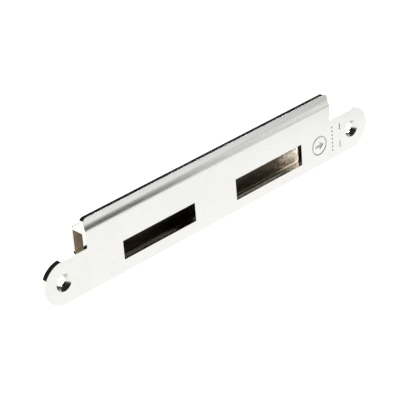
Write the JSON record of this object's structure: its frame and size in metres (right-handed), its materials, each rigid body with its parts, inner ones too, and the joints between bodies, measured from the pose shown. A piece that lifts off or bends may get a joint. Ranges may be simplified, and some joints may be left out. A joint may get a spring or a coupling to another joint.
{
  "type": "lipped strike plate for a mortise lock",
  "caption": "Flat steel strike plate with round ends, a joggled lip, a deadbolt slot, a latch slot, countersunk screw holes and a folded keep channel welded to its back.",
  "frame": {"origin": "on the front face, at mid length and on the centre line of the two end tongues, between the two slots", "axes": "+X along the length towards the end with the stamped marks (up when it is on its jamb), +Y from the front face into the door frame, +Z towards the lip"},
  "size_m": [0.24, 0.0127, 0.0412],
  "materials": {
    "satin_nickel": "nickel plated steel, finely brushed along its length, with bright cut edges",
    "channel_nickel": "nickel plated steel sheet, smooth and slightly warm",
    "weld_metal": "plated weld bead, duller and rippled"
  },
  "bodies": {
    "root": {"faceplate": "satin_nickel", "keep_channel": "channel_nickel", "upper_weld_left": "weld_metal", "upper_weld_middle": "weld_metal", "upper_weld_right": "weld_metal", "lower_weld_left": "weld_metal", "lower_weld_middle": "weld_metal", "lower_weld_right": "weld_metal"}
  },
  "joints": []
}
